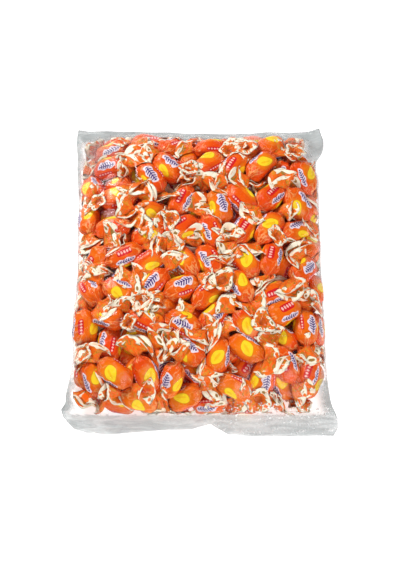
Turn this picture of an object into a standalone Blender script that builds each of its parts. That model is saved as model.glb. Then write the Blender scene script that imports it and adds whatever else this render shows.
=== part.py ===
"""A clear sealed bag of twist-wrapped filled hard candies, lying on its back on a table.

Metres, +Z up. The origin is under the middle of the bag, on the table. The header seal is at the +Y end
and the foot seal at the -Y end. The whole bag is one solid: a core, the candies that show from above and from
the sides sunk half way into it, and the flat film of the header, the foot and the corners.
"""

import math

import bmesh
import bpy
import numpy as np

# Driving dimensions of the bag
HEADER_END = 0.139
FOOT_END = -0.139
SEAL_HALF_WIDTH = 0.112  # where the film is pressed flat, so that it is wider
FILLED_HALF_WIDTH = 0.1015  # of the part that the candies fill
FILL_HEADER_END = 0.125
FILL_FOOT_END = -0.121
THICKNESS = 0.045
SIDE_FULLNESS = 8  # exponents of the pillow's height, across the bag and along it: more is squarer
END_FULLNESS = 6
PLAN_SQUARENESS = 14  # exponent of the rounded rectangle that the candies fill

# Driving dimensions of a wrapped candy
CANDY_LENGTH = 0.031
CANDY_WIDTH = 0.019
CANDY_DEPTH = 0.0165
NECK_REACH = 0.0165  # from the candy's middle to where its wrapper is twisted
NECK_WIDTH = 0.0045
TAIL_LENGTH = 0.0155
TAIL_WIDTH = 0.018
TAIL_THICKNESS = 0.0022  # of the crumpled fan, as made here
TAIL_PLEAT = 0.0018
BODY_RINGS = (-0.6, 0.6)  # where the candy's two widest rings are, as shares of its half length

# How the candies lie: in layers at random angles, pushed apart as rows of balls
LAYERS = ((7, 8), (7, 8), (8, 9))  # columns and rows of each, from the table up
SEED = 2
PLACE_SPREAD = 0.003
TILT_SPREAD = 0.22
BALL_RADIUS = 0.0083
BALL_SPACING = 0.0066
TAIL_BALLS = ((0.0195, 0.0030), (0.0250, 0.0030))  # distance from the candy's middle, and radius
SETTLE_STEPS = 200
SETTLE_RATE = 1.7
WALL_FIRMNESS = 2.0
TAIL_FIRMNESS = 0.25

# How the tails bend away from what is in their way
TAIL_BENDS = (0.0, 0.6, 1.1)  # in radians, from the candy's axis
TAIL_TURNS = 8
TAIL_ROOT = 0.2  # the share of a tail that stays in line with its candy
TAIL_CLEARANCE = 0.0012
LIFT = 0.35  # how much a tail rather rides up towards the film
STIFFNESS = 0.0006  # how much it rather stays straight
OUTWARD = 0.012  # how much it rather fills the bag's sides and corners
EDGE_POWER = 6  # how late a place counts as near a side, in at_edge
TIP_POWER = 7  # how late the way to the film tips outwards, in film_side

# The candies that are made: those that come this near the film or a side of the bag
SHOWN_BODY_DEPTH = 0.007
SHOWN_TAIL_DEPTH = 0.003
SIDE_SHARE = 0.9
CORNER_TAIL = 1.2  # a tail is made too where it comes this near a corner, by at_edge
TABLE_GAP = 0.0004  # from the table to the lowest candy and to the film

# The core that carries them
CORE_INSET = 0.0095  # under the film
CORE_SIDE_INSET = 0.0045
CORE_SPOKES = 20
CORE_SQUARENESS = 5
CORE_FLANK = ((0.88, 0.0), (0.97, 0.0028), (1.0, 0.0068))  # share of the core's outline, and height
CORE_TOP = (0.92, 0.6)

# The flattened film: for each line across the bag, its y and the film's left and right edge
FILM_LINES = (
    (FOOT_END, -0.1010, 0.1080),
    (-0.133, -0.1100, 0.1118),
    (-0.126, -SEAL_HALF_WIDTH, SEAL_HALF_WIDTH),
    (-0.118, -0.1085, 0.1090),
    (-0.108, -0.100, 0.104),
    (-0.096, -0.094, 0.096),
    (0.096, -0.099, 0.094),
    (0.106, -0.1077, 0.107),
    (0.118, -0.1092, 0.1098),
    (0.130, -0.1100, 0.1092),
    (HEADER_END, -0.1095, 0.1080),
)
FOOT_FOLD = (  # x, and how far the foot's edge is pulled in there
    (-0.112, 0.0110), (-0.105, 0.0070), (-0.0915, 0.0026), (-0.0745, 0.0010), (-0.058, 0.0026),
    (-0.025, 0.0052), (-0.006, 0.0055), (0.009, 0.0095), (0.024, 0.0010), (0.040, 0.0))
HEADER_DIP = (  # the same for the header's edge
    (-0.100, 0.0), (-0.040, 0.0010), (0.030, 0.0035), (0.060, 0.0015), (0.090, 0.0010), (0.105, 0.0))
FOOT_FOLD_DEPTH = 0.040
FILM_COLUMNS = 18
FILM_THICKNESS = 0.0012  # both sheets together, as made here
FILM_WAVE = 0.0007
WAVE_ACROSS = (95, 37)  # radians a metre, of the two waves that are multiplied
WAVE_ALONG = 40
FREE_FROM = 0.85  # the film is pressed flat from this share of the fill's half length
FREE_OVER = 0.25
FILM_RISE = 0.004  # of the film where it leaves the candies
EAR_CURL = 0.007
EAR = (0.097, 0.106)  # the curled corner starts at this x and y

FILL_MIDDLE = (FILL_HEADER_END + FILL_FOOT_END) / 2
FILL_HALF_LENGTH = (FILL_HEADER_END - FILL_FOOT_END) / 2


def roof(x, y):
    """Height of the film over the table: THICKNESS, falling off to the sides and to the ends.

    It falls with the roots of 1 - s^SIDE_FULLNESS and 1 - t^END_FULLNESS. s and t run from 0 at the
    middle of the filled part to 1 at its side and at its end.
    """
    s = np.clip(np.abs(x) / FILLED_HALF_WIDTH, 0, 1)
    t = np.clip(np.abs(y - FILL_MIDDLE) / FILL_HALF_LENGTH, 0, 1)
    return THICKNESS * np.sqrt((1 - s**SIDE_FULLNESS) * (1 - t**END_FULLNESS))


def outside_bag(points, radii):
    """How to move balls so that they lie inside the film.

    They go up from the table, down from the roof and in from the sides.
    """
    x, y, z = points[..., 0], points[..., 1], points[..., 2]
    move = np.zeros_like(points)
    ceiling = np.maximum(roof(x, y) - radii, radii)
    move[..., 2] = np.maximum(radii - z, 0) - np.maximum(z - ceiling, 0)
    half = np.stack([FILLED_HALF_WIDTH - radii, FILL_HALF_LENGTH - radii], -1)
    plan = np.stack([x, y - FILL_MIDDLE], -1)
    size = (np.abs(plan / half) ** PLAN_SQUARENESS).sum(-1) ** (1 / PLAN_SQUARENESS)
    back = np.minimum(1 / np.maximum(size, 1e-9), 1) - 1
    move[..., :2] += plan * back[..., None]
    return move


def settle_candies():
    """Middles and long axes of the candies.

    Layers of them start at random angles and are pushed apart until they fit the bag.
    """
    rng = np.random.default_rng(SEED)
    places = []
    for layer, (columns, rows) in enumerate(LAYERS):
        column, row = (g.ravel() for g in np.meshgrid(np.arange(columns), np.arange(rows), indexing="ij"))
        stagger = 0.5 + 0.25 * (layer % 2 - 0.5)
        places.append(np.stack([
            ((column + stagger) / columns * 2 - 1) * FILLED_HALF_WIDTH,
            ((row + stagger) / rows * 2 - 1) * FILL_HALF_LENGTH + FILL_MIDDLE,
            np.full(len(row), (layer + 0.5) / len(LAYERS) * THICKNESS),
        ], -1))
    middle = np.concatenate(places)
    middle += rng.normal(0, PLACE_SPREAD, middle.shape)
    count = len(middle)
    turn = rng.uniform(0, 2 * math.pi, count)
    tilt = rng.normal(0, TILT_SPREAD, count)
    axis = np.stack([np.cos(turn) * np.cos(tilt), np.sin(turn) * np.cos(tilt), np.sin(tilt)], -1)

    body = [(-BALL_SPACING, BALL_RADIUS), (0.0, BALL_RADIUS), (BALL_SPACING, BALL_RADIUS)]
    tails = [(side * reach, radius) for reach, radius in TAIL_BALLS for side in (-1, 1)]
    offsets, radii = np.array(body + tails).T
    firmness = np.where(np.arange(len(radii)) < len(body), 1.0, TAIL_FIRMNESS)
    both_firm = np.minimum(firmness[:, None], firmness)
    reach = offsets.max() + radii.max()
    for _ in range(SETTLE_STEPS):
        balls = middle[:, None] + axis[:, None] * offsets[:, None]
        apart = np.linalg.norm(middle[:, None] - middle[None], axis=-1)
        first, second = np.nonzero(np.triu(apart < 2 * reach, 1))
        gap = balls[first][:, :, None] - balls[second][:, None]
        distance = np.maximum(np.linalg.norm(gap, axis=-1), 1e-6)
        overlap = np.maximum(radii[:, None] + radii[None] - distance, 0)
        push = gap * (both_firm * overlap / distance / 2)[..., None]
        moves = outside_bag(balls, radii) * WALL_FIRMNESS
        touches = (np.abs(moves).sum(-1) > 0) * WALL_FIRMNESS
        np.add.at(moves, first, push.sum(2))
        np.add.at(moves, second, -push.sum(1))
        np.add.at(touches, first, (both_firm * (overlap > 0)).sum(2))
        np.add.at(touches, second, (both_firm * (overlap > 0)).sum(1))
        middle += SETTLE_RATE * moves.sum(1) / np.maximum(touches.sum(1), 1)[:, None]
        swing = (moves * offsets[:, None]).sum(1) / np.maximum((touches * offsets**2).sum(1), 1e-6)[:, None]
        axis += SETTLE_RATE * swing
        axis /= np.linalg.norm(axis, axis=-1, keepdims=True)
    return middle, axis


def across(axis, towards):
    """The unit vector square to axis that points most towards another one."""
    flat = towards - axis * (towards * axis).sum(-1, keepdims=True)
    return flat / np.maximum(np.linalg.norm(flat, axis=-1, keepdims=True), 1e-9)


def film_side(points):
    """The way to the nearest film: up or down, tipped outwards near the bag's sides and ends."""
    tip = np.stack([
        (points[:, 0] / FILLED_HALF_WIDTH) ** TIP_POWER,
        ((points[:, 1] - FILL_MIDDLE) / FILL_HALF_LENGTH) ** TIP_POWER,
        np.where(points[:, 2] > THICKNESS / 3, 1.0, -1.0),
    ], -1)
    return tip / np.linalg.norm(tip, axis=-1, keepdims=True)


def depth_in_bodies(points, middle, axis, owner):
    """How deep points lie in the candies' capsules, the owner's own left out. points is (tails, any, 3)."""
    from_middle = points[:, :, None] - middle[None, None]
    along = np.clip((from_middle * axis).sum(-1), -BALL_SPACING, BALL_SPACING)
    distance = np.linalg.norm(from_middle - along[..., None] * axis, axis=-1)
    distance[np.arange(len(points)), :, owner] = np.inf
    return np.maximum(BALL_RADIUS + TAIL_CLEARANCE - distance, 0)


def at_edge(points):
    """0 at the bag's middle, 1 at its sides and ends and 2 at its corners."""
    along = (points[:, 1] - FILL_MIDDLE) / FILL_HALF_LENGTH
    return np.minimum((points[:, 0] / FILLED_HALF_WIDTH) ** EDGE_POWER + along**EDGE_POWER, 2)


def lay_tails(middle, axis):
    """For each end of each candy, where its tail starts, the way that it bends, and its tip.

    Of a ring of bends at each of TAIL_BENDS, the one is kept that runs least into candies, table and film.
    """
    owner = np.repeat(np.arange(len(middle)), 2)
    out = np.repeat(axis, 2, axis=0) * np.tile([-1.0, 1.0], len(middle))[:, None]
    neck = middle[owner] + out * NECK_REACH
    root = neck + out * TAIL_ROOT * TAIL_LENGTH
    side = across(out, np.roll(out, 1, axis=-1))
    up = np.cross(out, side)
    cost = []
    ways = []
    for bend in TAIL_BENDS:
        for turn in np.arange(TAIL_TURNS) * 2 * math.pi / TAIL_TURNS:
            way = out * math.cos(bend) + (side * math.cos(turn) + up * math.sin(turn)) * math.sin(bend)
            steps = np.array([0.5, 0.75, 1.0])[:, None] - TAIL_ROOT
            points = root[:, None] + way[:, None] * steps * TAIL_LENGTH
            hit = depth_in_bodies(points, middle, axis, owner).sum((1, 2))
            hit += np.abs(outside_bag(points, np.full(3, TAIL_CLEARANCE))).sum((1, 2)) * 2
            cost.append(hit - LIFT * points[:, -1, 2] + STIFFNESS * bend - OUTWARD * at_edge(points[:, -1]))
            ways.append(way)
    way = np.array(ways)[np.argmin(cost, axis=0), np.arange(len(neck))]
    return owner, way, root + way * TAIL_LENGTH * (1 - TAIL_ROOT)


def closed_tube(rings):
    """A closed surface through rings of corners. An end ring of one corner is a pole, any other is capped."""
    mesh = bmesh.new()
    loops = [[mesh.verts.new(corner) for corner in ring] for ring in rings]
    for lower, upper in zip(loops, loops[1:]):
        for i in range(max(len(lower), len(upper))):
            j = i + 1
            corners = (
                lower[i % len(lower)], lower[j % len(lower)],
                upper[j % len(upper)], upper[i % len(upper)])
            mesh.faces.new(dict.fromkeys(corners))
    for loop in (loops[0], loops[-1]):
        for i in range(len(loop) // 2 - 1):
            mesh.faces.new((loop[i], loop[i + 1], loop[-2 - i], loop[-1 - i]))
    bmesh.ops.recalc_face_normals(mesh, faces=mesh.faces)
    return mesh


def six_corners(middle, forward, flat, width, depth, pleat=0.0):
    """A ring round a candy or its tail: two corners at each side, one above and one below.

    The pleat moves the two sides up and the middle down.
    """
    side = np.cross(flat, forward)
    side /= np.linalg.norm(side)
    up = np.cross(forward, side)
    sideways = np.array([1, 0, -1, -1, 0, 1]) * width / 2
    upwards = np.array([0.25, 0.5, 0.25, -0.25, -0.5, -0.25]) * depth
    upwards += np.array([1, -1, 1, 1, -1, 1]) * pleat
    return middle + np.outer(sideways, side) + np.outer(upwards, up)


def wrapped_candy(place, axis, flat, tails):
    """A candy in its wrapper: a lozenge with blunt shoulders, drawn in to a neck at each end.

    tails holds, for each end, None or its tip, the way that it goes and the way that its fan faces.
    """
    rings = []
    for share in BODY_RINGS:
        girth = math.sqrt(1 - share**4)
        middle = place + axis * share * CANDY_LENGTH / 2
        rings.append(six_corners(middle, axis, flat, CANDY_WIDTH * girth, CANDY_DEPTH * girth))
    for end, tail in zip((-1, 1), tails):
        neck = place + axis * end * NECK_REACH
        added = [[neck]]
        if tail is not None:
            tip, way, tail_flat = tail
            tail_flat = tail_flat * math.copysign(1, tail_flat @ flat)
            added = [
                six_corners(neck, axis, flat, NECK_WIDTH, NECK_WIDTH),
                six_corners(tip, way * end, tail_flat, TAIL_WIDTH, TAIL_THICKNESS, TAIL_PLEAT),
            ]
        rings = rings + added if end > 0 else added[::-1] + rings
    lowest = (-SEAL_HALF_WIDTH, FOOT_END, TABLE_GAP)
    highest = (SEAL_HALF_WIDTH, HEADER_END, THICKNESS)
    return closed_tube([np.clip(ring, lowest, highest) for ring in rings])


def bag_core():
    """The heap's middle: rings of a rounded rectangle, flat below, round at the sides, domed on top."""
    turn = (np.arange(CORE_SPOKES) + 0.5) * 2 * math.pi / CORE_SPOKES
    plan = np.stack([np.cos(turn), np.sin(turn)], -1)
    plan = np.sign(plan) * np.abs(plan) ** (2 / CORE_SQUARENESS)
    plan *= np.array([FILLED_HALF_WIDTH, FILL_HALF_LENGTH]) - CORE_SIDE_INSET
    rings = []
    for share, height in CORE_FLANK:
        rings.append([(x, y + FILL_MIDDLE, height) for x, y in plan * share])
    for share in CORE_TOP:
        rings.append([(x, y + FILL_MIDDLE, core_top(x, y + FILL_MIDDLE)) for x, y in plan * share])
    rings.append([(0, FILL_MIDDLE, core_top(0, FILL_MIDDLE))])
    return closed_tube(rings)


def core_top(x, y):
    """Height of the core: CORE_INSET under the film, and no lower than the top of its flank."""
    return float(max(roof(x, y) - CORE_INSET, CORE_FLANK[-1][1]))


def flat_film():
    """The film of the header, the foot and the corners: one thin waved plate, also through the core."""
    rings = []
    for line, left, right in FILM_LINES:
        x = np.linspace(left, right, FILM_COLUMNS)
        towards_foot = np.clip((line - FOOT_END) / FOOT_FOLD_DEPTH, 0, 1)
        towards_header = np.clip((line - FILL_HEADER_END) / (HEADER_END - FILL_HEADER_END), 0, 1)
        y = line + np.interp(x, *zip(*FOOT_FOLD)) * (1 - towards_foot)
        y -= np.interp(x, *zip(*HEADER_DIP)) * towards_header
        along = np.abs(y - FILL_MIDDLE) / FILL_HALF_LENGTH
        free = np.clip((along - FREE_FROM) / FREE_OVER, 0, 1)
        swell = np.sin(x * WAVE_ACROSS[0] + y * WAVE_ALONG) * np.cos(x * WAVE_ACROSS[1])
        wave = FILM_WAVE * free * (1 + swell)
        curl = EAR_CURL * np.clip((x - EAR[0]) / (SEAL_HALF_WIDTH - EAR[0]), 0, 1)
        curl *= np.clip((y - EAR[1]) / (HEADER_END - EAR[1]), 0, 1)
        z = TABLE_GAP + FILM_RISE * (1 - free) + wave + curl
        lower = np.stack([x, y, z], -1)
        upper = lower + (0, 0, FILM_THICKNESS)
        rings.append(np.concatenate([upper, lower[::-1]]))
    return closed_tube(rings)


def new_object(name, mesh, collection):
    """An object of that name, with the bmesh made its mesh, in a collection."""
    data = bpy.data.meshes.new(name)
    mesh.to_mesh(data)
    mesh.free()
    made = bpy.data.objects.new(name, data)
    collection.objects.link(made)
    return made


def fuse(body, pieces):
    """Unites the body with every object of a collection, which is then removed."""
    union = body.modifiers.new("Fuse", "BOOLEAN")
    union.operation = "UNION"
    union.operand_type = "COLLECTION"
    union.collection = pieces
    union.solver = "MANIFOLD"  # EXACT leaves edges here that four faces share
    bpy.context.view_layer.update()
    graph = bpy.context.evaluated_depsgraph_get()
    fused = bpy.data.meshes.new_from_object(body.evaluated_get(graph))
    body.modifiers.clear()
    body.data = fused
    for piece in list(pieces.objects):
        bpy.data.objects.remove(piece, do_unlink=True)
    bpy.data.collections.remove(pieces)


def keep_outer_shell(body):
    """Drops loose scraps and fills the hollows that the union sealed: only the largest run of faces is kept.

    A run goes on over an edge that two faces share. Slivers hang on edges that four faces share.
    """
    mesh = bmesh.new()
    mesh.from_mesh(body.data)
    bmesh.ops.triangulate(mesh, faces=mesh.faces)
    shells = []
    left = set(mesh.faces)
    while left:
        shell = [left.pop()]
        for face in shell:
            plain_edges = [edge for edge in face.edges if len(edge.link_faces) == 2]
            beside = {other for edge in plain_edges for other in edge.link_faces} & left
            left -= beside
            shell.extend(beside)
        shells.append(shell)
    shells.sort(key=len)
    bmesh.ops.delete(mesh, geom=[face for shell in shells[:-1] for face in shell], context="FACES")
    mesh.to_mesh(body.data)
    mesh.free()


def orange_wrapper():
    """Printed plastic wrapper, the colour that most of the bag shows."""
    material = bpy.data.materials.new("orange_wrapper")
    material.use_nodes = True
    shader = material.node_tree.nodes["Principled BSDF"]
    shader.inputs["Base Color"].default_value = (0.9, 0.16, 0.01, 1)
    shader.inputs["Roughness"].default_value = 0.35
    shader.inputs["Metallic"].default_value = 0.0
    return material


def build():
    for old in list(bpy.data.objects):
        bpy.data.objects.remove(old, do_unlink=True)
    scene = bpy.context.scene.collection
    bag = new_object("candy_bag", bag_core(), scene)
    pieces = bpy.data.collections.new("pieces")
    scene.children.link(pieces)
    new_object("flat_film", flat_film(), pieces)

    middle, axis = settle_candies()
    flat = across(axis, film_side(middle))
    cover = roof(middle[:, 0], middle[:, 1]) - middle[:, 2] - CANDY_DEPTH / 2
    across_share = np.abs(middle[:, 0]) / FILLED_HALF_WIDTH
    along_share = np.abs(middle[:, 1] - FILL_MIDDLE) / FILL_HALF_LENGTH
    shown = (cover < SHOWN_BODY_DEPTH) | (np.maximum(across_share, along_share) > SIDE_SHARE)

    owner, way, tip = lay_tails(middle, axis)
    tail_flat = across(way, film_side(tip))
    tail_shown = (roof(tip[:, 0], tip[:, 1]) - tip[:, 2] < SHOWN_TAIL_DEPTH) | (at_edge(tip) > CORNER_TAIL)
    for i in np.nonzero(shown)[0]:
        tails = [(tip[j], way[j], tail_flat[j]) if tail_shown[j] else None for j in np.nonzero(owner == i)[0]]
        new_object(f"candy_{i}", wrapped_candy(middle[i], axis[i], flat[i], tails), pieces)

    fuse(bag, pieces)
    keep_outer_shell(bag)
    bag.data.materials.clear()
    bag.data.materials.append(orange_wrapper())


build()
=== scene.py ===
"""The looks of a clear sealed bag of twist-wrapped filled hard candies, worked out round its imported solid.

Metres, +Z up, the header seal at +Y. The bag lies on its back. The candies lie where the solid's candies lie.
"""

import math

import bpy
import numpy as np
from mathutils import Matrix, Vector


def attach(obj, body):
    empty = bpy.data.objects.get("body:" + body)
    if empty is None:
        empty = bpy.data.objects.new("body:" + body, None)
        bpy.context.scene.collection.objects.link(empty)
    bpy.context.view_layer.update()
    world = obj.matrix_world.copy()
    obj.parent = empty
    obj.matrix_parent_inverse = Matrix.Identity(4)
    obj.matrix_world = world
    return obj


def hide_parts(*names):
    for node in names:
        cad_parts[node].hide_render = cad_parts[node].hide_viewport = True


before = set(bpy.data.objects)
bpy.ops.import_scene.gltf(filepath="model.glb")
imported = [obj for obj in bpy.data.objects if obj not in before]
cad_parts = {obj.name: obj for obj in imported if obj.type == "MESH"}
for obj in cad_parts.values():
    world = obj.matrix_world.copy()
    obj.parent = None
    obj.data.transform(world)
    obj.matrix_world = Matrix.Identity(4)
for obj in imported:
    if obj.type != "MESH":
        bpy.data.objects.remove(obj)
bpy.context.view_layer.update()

# ---- How the candies lie ---------------------------------------------------------------------------------
# 184 wrapped candies are tipped into the bag and jostle until they fit: layers at random angles, pushed apart
# inside the pillow that the film makes. The numbers repeat those of the solid, so the candies coincide.
# LAYERS holds each layer's columns and rows, and TAIL_BALLS the reach and radius of a twisted end's balls.

FILLED_HALF_WIDTH = 0.1015
FILL_HEADER_END = 0.125
FILL_FOOT_END = -0.121
FILL_MIDDLE = (FILL_HEADER_END + FILL_FOOT_END) / 2
FILL_HALF_LENGTH = (FILL_HEADER_END - FILL_FOOT_END) / 2
THICKNESS = 0.045
SIDE_FULLNESS = 8
END_FULLNESS = 6
PLAN_SQUARENESS = 14
LAYERS = ((7, 8), (7, 8), (8, 9))
STAGGER = 0.25
SEED = 2
PLACE_SPREAD = 0.003
TILT_SPREAD = 0.22
BALL_RADIUS = 0.0083
BALL_SPACING = 0.0066
TAIL_BALLS = ((0.0195, 0.0030), (0.0250, 0.0030))
SETTLE_STEPS = 200
SETTLE_RATE = 1.7
WALL_FIRMNESS = 2.0
TAIL_FIRMNESS = 0.25


def roof(x, y):
    """Height of the bag: THICKNESS times the roots of 1 - s^SIDE_FULLNESS and 1 - t^END_FULLNESS.

    s and t run from 0 at the middle of the filled part to 1 at its side and at its end.
    """
    s = np.clip(np.abs(x) / FILLED_HALF_WIDTH, 0, 1)
    t = np.clip(np.abs(y - FILL_MIDDLE) / FILL_HALF_LENGTH, 0, 1)
    return THICKNESS * np.sqrt((1 - s**SIDE_FULLNESS) * (1 - t**END_FULLNESS))


def outside_bag(points, radii):
    """How to move balls inside: up from the table, down from the roof, in to a rounded rectangle in plan.

    A place's size in plan is that of a superellipse of power PLAN_SQUARENESS, and is 1 on the outline. A ball
    beyond it is pulled back towards the middle by 1 - 1 / size of its place.
    """
    x, y, z = points[..., 0], points[..., 1], points[..., 2]
    move = np.zeros_like(points)
    ceiling = np.maximum(roof(x, y) - radii, radii)
    move[..., 2] = np.maximum(radii - z, 0) - np.maximum(z - ceiling, 0)
    half = np.stack([FILLED_HALF_WIDTH - radii, FILL_HALF_LENGTH - radii], -1)
    plan = np.stack([x, y - FILL_MIDDLE], -1)
    size = (np.abs(plan / half) ** PLAN_SQUARENESS).sum(-1) ** (1 / PLAN_SQUARENESS)
    back = np.minimum(1 / np.maximum(size, 1e-9), 1) - 1
    move[..., :2] += plan * back[..., None]
    return move


def settle_candies():
    """Middles and long axes of the candies, each taken as a row of balls.

    They start on a grid of LAYERS with random places, turns and tilts. Each of SETTLE_STEPS moves a row by
    SETTLE_RATE times the mean of its overlaps, and turns it by their moment about its middle.
    """
    rng = np.random.default_rng(SEED)
    places = []
    for layer, (columns, rows) in enumerate(LAYERS):
        column, row = (g.ravel() for g in np.meshgrid(np.arange(columns), np.arange(rows), indexing="ij"))
        stagger = 0.5 + STAGGER * (layer % 2 - 0.5)
        places.append(np.stack([
            ((column + stagger) / columns * 2 - 1) * FILLED_HALF_WIDTH,
            ((row + stagger) / rows * 2 - 1) * FILL_HALF_LENGTH + FILL_MIDDLE,
            np.full(len(row), (layer + 0.5) / len(LAYERS) * THICKNESS),
        ], -1))
    middle = np.concatenate(places)
    middle += rng.normal(0, PLACE_SPREAD, middle.shape)
    count = len(middle)
    turn = rng.uniform(0, 2 * math.pi, count)
    tilt = rng.normal(0, TILT_SPREAD, count)
    axis = np.stack([np.cos(turn) * np.cos(tilt), np.sin(turn) * np.cos(tilt), np.sin(tilt)], -1)

    body = [(-BALL_SPACING, BALL_RADIUS), (0.0, BALL_RADIUS), (BALL_SPACING, BALL_RADIUS)]
    tails = [(side * reach, radius) for reach, radius in TAIL_BALLS for side in (-1, 1)]
    offsets, radii = np.array(body + tails).T
    firmness = np.where(np.arange(len(radii)) < len(body), 1.0, TAIL_FIRMNESS)
    both_firm = np.minimum(firmness[:, None], firmness)
    reach = offsets.max() + radii.max()
    for _ in range(SETTLE_STEPS):
        balls = middle[:, None] + axis[:, None] * offsets[:, None]
        apart = np.linalg.norm(middle[:, None] - middle[None], axis=-1)
        first, second = np.nonzero(np.triu(apart < 2 * reach, 1))
        gap = balls[first][:, :, None] - balls[second][:, None]
        distance = np.maximum(np.linalg.norm(gap, axis=-1), 1e-6)
        overlap = np.maximum(radii[:, None] + radii[None] - distance, 0)
        push = gap * (both_firm * overlap / distance / 2)[..., None]
        moves = outside_bag(balls, radii) * WALL_FIRMNESS
        touches = (np.abs(moves).sum(-1) > 0) * WALL_FIRMNESS
        np.add.at(moves, first, push.sum(2))
        np.add.at(moves, second, -push.sum(1))
        np.add.at(touches, first, (both_firm * (overlap > 0)).sum(2))
        np.add.at(touches, second, (both_firm * (overlap > 0)).sum(1))
        middle += SETTLE_RATE * moves.sum(1) / np.maximum(touches.sum(1), 1)[:, None]
        swing = (moves * offsets[:, None]).sum(1) / np.maximum((touches * offsets**2).sum(1), 1e-6)[:, None]
        axis += SETTLE_RATE * swing
        axis /= np.linalg.norm(axis, axis=-1, keepdims=True)
    return middle, axis


middle, axis = settle_candies()
candies = len(middle)

# ---- The twisted ends' ways ------------------------------------------------------------------------------
# Each wrapper is a sheet rolled round the candy and twisted at both ends, so that its ends stand out as fans.
# In the bag a fan bends to where there is room, and most ride up over their neighbours to the film.

NECK_REACH = 0.0165
TAIL_LENGTH = 0.0155
TAIL_BENDS = (0.0, 0.6, 1.1)
TAIL_TURNS = 8
TAIL_ROOT = 0.2
TAIL_MARKS = (0.5, 0.75, 1.0)
TAIL_CLEARANCE = 0.0012
BAG_WEIGHT = 2
LIFT = 0.35
STIFFNESS = 0.0006
OUTWARD = 0.012
EDGE_POWER = 6
TIP_POWER = 7


def unit(vectors):
    """Vectors divided by their lengths."""
    return vectors / np.maximum(np.linalg.norm(vectors, axis=-1, keepdims=True), 1e-9)


def across(axis, towards):
    """The unit vector square to axis that points most towards another: that one less its part along axis."""
    return unit(towards - axis * (towards * axis).sum(-1, keepdims=True))


def film_side(points):
    """The way to the nearest film: down in the bag's lowest third and up above it, tipped outwards.

    It is tipped by the shares of the way to the side and to the end, each to the TIP_POWER.
    """
    tip = np.stack([
        (points[:, 0] / FILLED_HALF_WIDTH) ** TIP_POWER,
        ((points[:, 1] - FILL_MIDDLE) / FILL_HALF_LENGTH) ** TIP_POWER,
        np.where(points[:, 2] > THICKNESS / 3, 1.0, -1.0),
    ], -1)
    return unit(tip)


def depth_in_bodies(points, owner):
    """How deep points lie in the candies' capsules, the owner's own left out. points is (tails, any, 3).

    The depth is BALL_RADIUS plus TAIL_CLEARANCE, less the distance to the line through the body's balls.
    """
    from_middle = points[:, :, None] - middle[None, None]
    along = np.clip((from_middle * axis).sum(-1), -BALL_SPACING, BALL_SPACING)
    distance = np.linalg.norm(from_middle - along[..., None] * axis, axis=-1)
    distance[np.arange(len(points)), :, owner] = np.inf
    return np.maximum(BALL_RADIUS + TAIL_CLEARANCE - distance, 0)


def at_edge(points):
    """0 at the bag's middle, 1 at its sides and ends and 2 at its corners.

    It is the sum of the shares of the way to the side and to the end, each to the EDGE_POWER, and at most 2.
    """
    along = (points[:, 1] - FILL_MIDDLE) / FILL_HALF_LENGTH
    return np.minimum((points[:, 0] / FILLED_HALF_WIDTH) ** EDGE_POWER + along**EDGE_POWER, 2)


def lay_tails():
    """Of a ring of bends at each of TAIL_BENDS, the way that runs least into candies, table and film.

    A way costs the depth of its TAIL_MARKS in candies, and BAG_WEIGHT times their way back into the bag. Its
    tip's height times LIFT and its tip's at_edge times OUTWARD are taken off, and the bend times STIFFNESS
    is added.
    """
    owner = np.repeat(np.arange(candies), 2)
    out = np.repeat(axis, 2, axis=0) * np.tile([-1.0, 1.0], candies)[:, None]
    root = middle[owner] + out * (NECK_REACH + TAIL_ROOT * TAIL_LENGTH)
    side = across(out, np.roll(out, 1, axis=-1))
    up = np.cross(out, side)
    cost = []
    ways = []
    for bend in TAIL_BENDS:
        for turn in np.arange(TAIL_TURNS) * 2 * math.pi / TAIL_TURNS:
            way = out * math.cos(bend) + (side * math.cos(turn) + up * math.sin(turn)) * math.sin(bend)
            steps = np.array(TAIL_MARKS)[:, None] - TAIL_ROOT
            points = root[:, None] + way[:, None] * steps * TAIL_LENGTH
            hit = depth_in_bodies(points, owner).sum((1, 2))
            radii = np.full(len(TAIL_MARKS), TAIL_CLEARANCE)
            hit += np.abs(outside_bag(points, radii)).sum((1, 2)) * BAG_WEIGHT
            cost.append(hit - LIFT * points[:, -1, 2] + STIFFNESS * bend - OUTWARD * at_edge(points[:, -1]))
            ways.append(way)
    way = np.array(ways)[np.argmin(cost, axis=0), np.arange(len(owner))]
    return owner, out, way


tail_owner, tail_out, tail_way = lay_tails()
tail_neck = middle[tail_owner] + tail_out * NECK_REACH
tail_tip = tail_neck + (tail_out * TAIL_ROOT + tail_way * (1 - TAIL_ROOT)) * TAIL_LENGTH

# ---- The wrapped candies ---------------------------------------------------------------------------------
# A candy is a boiled sweet with a soft filling, 31 mm long in its printed plastic wrapper. The wrapper is one
# tube: plump over the candy, gathered in pleats at the shoulders, twisted thin, and flared into creased fans.
# Some fans turn up to the film and open like a bell. They are the rosettes. Others are tucked in between
# their neighbours.
# The rows are places along the tube: shoulder to shoulder, neck to rim, and back inside from the rim.

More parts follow.
